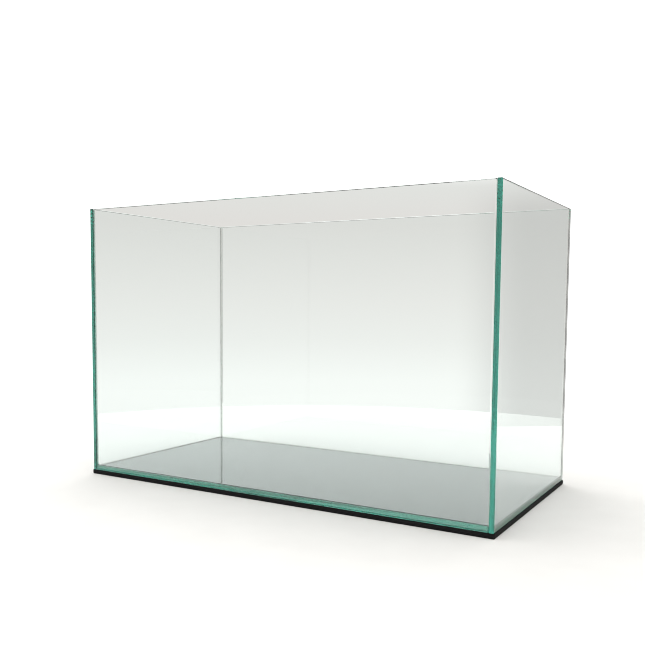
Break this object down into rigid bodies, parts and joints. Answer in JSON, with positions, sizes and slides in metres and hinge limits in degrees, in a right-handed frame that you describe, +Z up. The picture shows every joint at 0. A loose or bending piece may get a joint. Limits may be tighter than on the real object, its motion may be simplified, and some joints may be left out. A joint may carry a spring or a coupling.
{
  "type": "glass aquarium tank",
  "caption": "Rimless open-topped rectangular glass tank with clear silicone seams, standing on a thin foam levelling mat.",
  "frame": {"origin": "centre of the levelling mat's underside, on the surface that the tank stands on", "axes": "+X along the tank's length, -Y out of the front pane, +Z up out of the open top"},
  "size_m": [0.612, 0.307, 0.387],
  "materials": {
    "float_glass": "polished float glass with ground and polished edges",
    "clear_silicone": "translucent cured silicone, tooled smooth",
    "foam_mat": "black closed-cell foam, matte, knife-cut edges"
  },
  "bodies": {
    "mat": {"leveling_mat": "foam_mat"},
    "tank": {"bottom_pane": "float_glass", "front_pane": "float_glass", "back_pane": "float_glass", "left_pane": "float_glass", "right_pane": "float_glass", "front_left_corner_seal": "clear_silicone", "front_right_corner_seal": "clear_silicone", "back_left_corner_seal": "clear_silicone", "back_right_corner_seal": "clear_silicone", "front_base_seal": "clear_silicone", "back_base_seal": "clear_silicone", "left_base_seal": "clear_silicone", "right_base_seal": "clear_silicone"}
  },
  "joints": [
    {"name": "tank_lift", "type": "slide", "parent": "mat", "child": "tank", "axis": [0, 0, 1], "range_m": [0, 0.1]}
  ]
}
